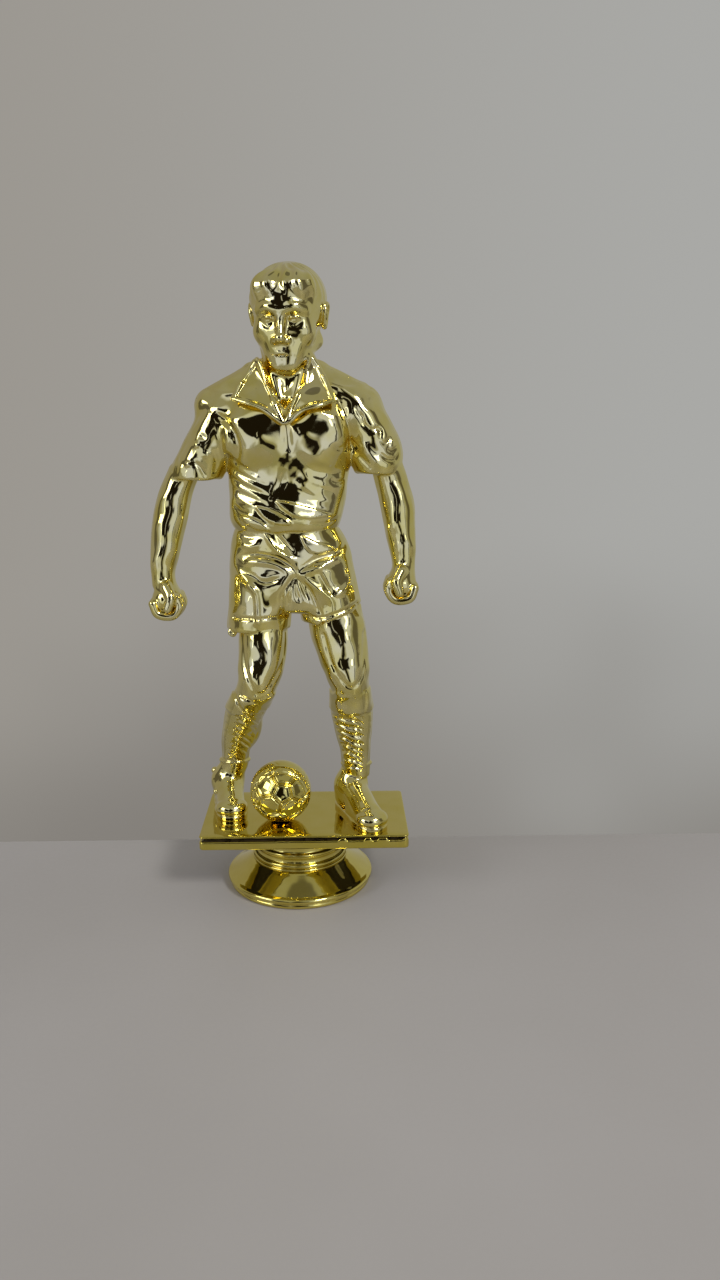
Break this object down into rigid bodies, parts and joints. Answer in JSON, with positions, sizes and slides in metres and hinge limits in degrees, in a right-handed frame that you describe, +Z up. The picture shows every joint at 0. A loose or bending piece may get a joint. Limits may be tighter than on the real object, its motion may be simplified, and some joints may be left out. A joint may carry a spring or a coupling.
{
  "type": "football figure trophy",
  "caption": "Metallised plastic trophy topper: a football player with a ball on a plate over a flared round foot.",
  "frame": {"origin": "bottom centre of the whole trophy's box, on the plane of the foot's underside; the foot's own axis is 3.15 mm away at x = +0.00315, because the player's arms reach further to -X", "axes": "+Z up, the player faces -Y, the player's left arm is on the +X side"},
  "size_m": [0.0697, 0.04, 0.162],
  "materials": {
    "gold_player": "polished",
    "gold_ball": "polished",
    "gold_platform": "polished",
    "gold_foot": "polished",
    "zinc_steel": "satin"
  },
  "bodies": {
    "root": {"player_front_shell": "gold_player", "player_back_shell": "gold_player", "ball_front_half": "gold_ball", "ball_back_half": "gold_ball", "platform_top_plate": "gold_platform", "platform_tray": "gold_platform", "collar_ring": "gold_foot", "pedestal_foot": "gold_foot", "tie_bolt": "zinc_steel", "tie_washer": "zinc_steel", "tie_nut": "zinc_steel", "right_boot_screw": "zinc_steel", "left_boot_screw": "zinc_steel"}
  },
  "joints": []
}
